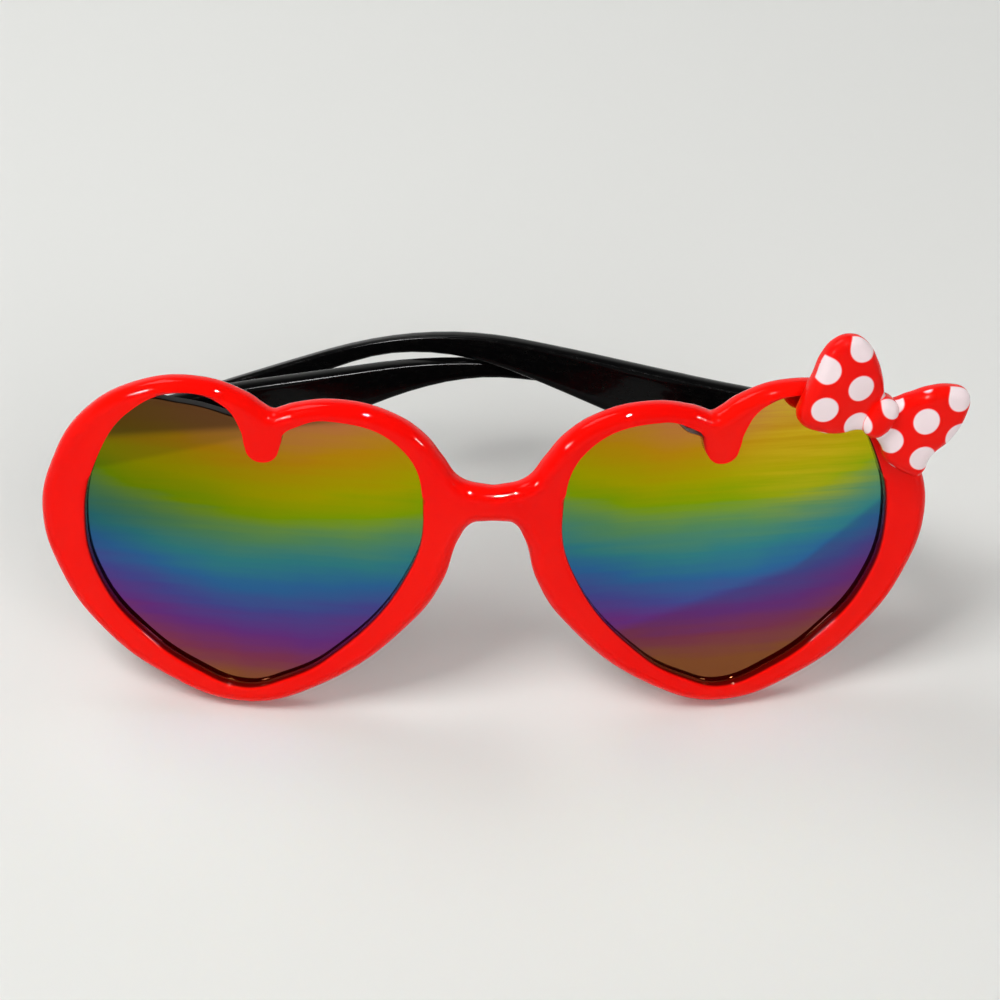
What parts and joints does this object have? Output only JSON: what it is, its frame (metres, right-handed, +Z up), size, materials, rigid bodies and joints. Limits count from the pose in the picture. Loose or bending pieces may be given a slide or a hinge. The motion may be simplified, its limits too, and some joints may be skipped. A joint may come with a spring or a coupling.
{
  "type": "heart shaped sunglasses",
  "caption": "Child's sunglasses with a moulded heart shaped front, tinted lenses, a bow ornament at a corner and slender arms that fold across each other on metal hinges.",
  "frame": {"origin": "on the table, in the front's middle plane, on the line through the points where the hearts' tips rest", "axes": "+X across towards the wearer's left, +Y backward from the front to the folded arms, +Z up from the table"},
  "size_m": [0.1305, 0.0587, 0.0583],
  "materials": {
    "front_plastic": "bright red, moulded and polished",
    "bow_plastic": "bright red with white dots, glossy",
    "lens": "dark tint with a rainbow mirror coating that runs from orange through green and blue to purple and red",
    "arm_plastic": "black, satin gloss",
    "hinge_metal": "plain nickel",
    "screw_metal": "plain nickel"
  },
  "bodies": {
    "front": {"frame_front": "front_plastic", "bow": "bow_plastic", "left_lens": "lens", "right_lens": "lens", "left_front_hinge": "hinge_metal", "right_front_hinge": "hinge_metal", "left_hinge_screw": "screw_metal", "right_hinge_screw": "screw_metal"},
    "left_arm": {"left_temple": "arm_plastic", "left_temple_hinge": "hinge_metal"},
    "right_arm": {"right_temple": "arm_plastic", "right_temple_hinge": "hinge_metal"}
  },
  "joints": [
    {"name": "left_arm_fold", "type": "hinge", "parent": "front", "child": "left_arm", "pos_m": [0.057, 0.01757, 0.03089], "axis": [-0.0454, -0.282, -0.9583], "range_deg": [0, 65.7]},
    {"name": "right_arm_fold", "type": "hinge", "parent": "front", "child": "right_arm", "pos_m": [-0.057, 0.01757, 0.03089], "axis": [0.0454, 0.282, 0.9583], "range_deg": [0, 65.7]}
  ],
  "couplings": [
    {"joint": "right_arm_fold", "follows": "left_arm_fold", "ratio": 1}
  ]
}
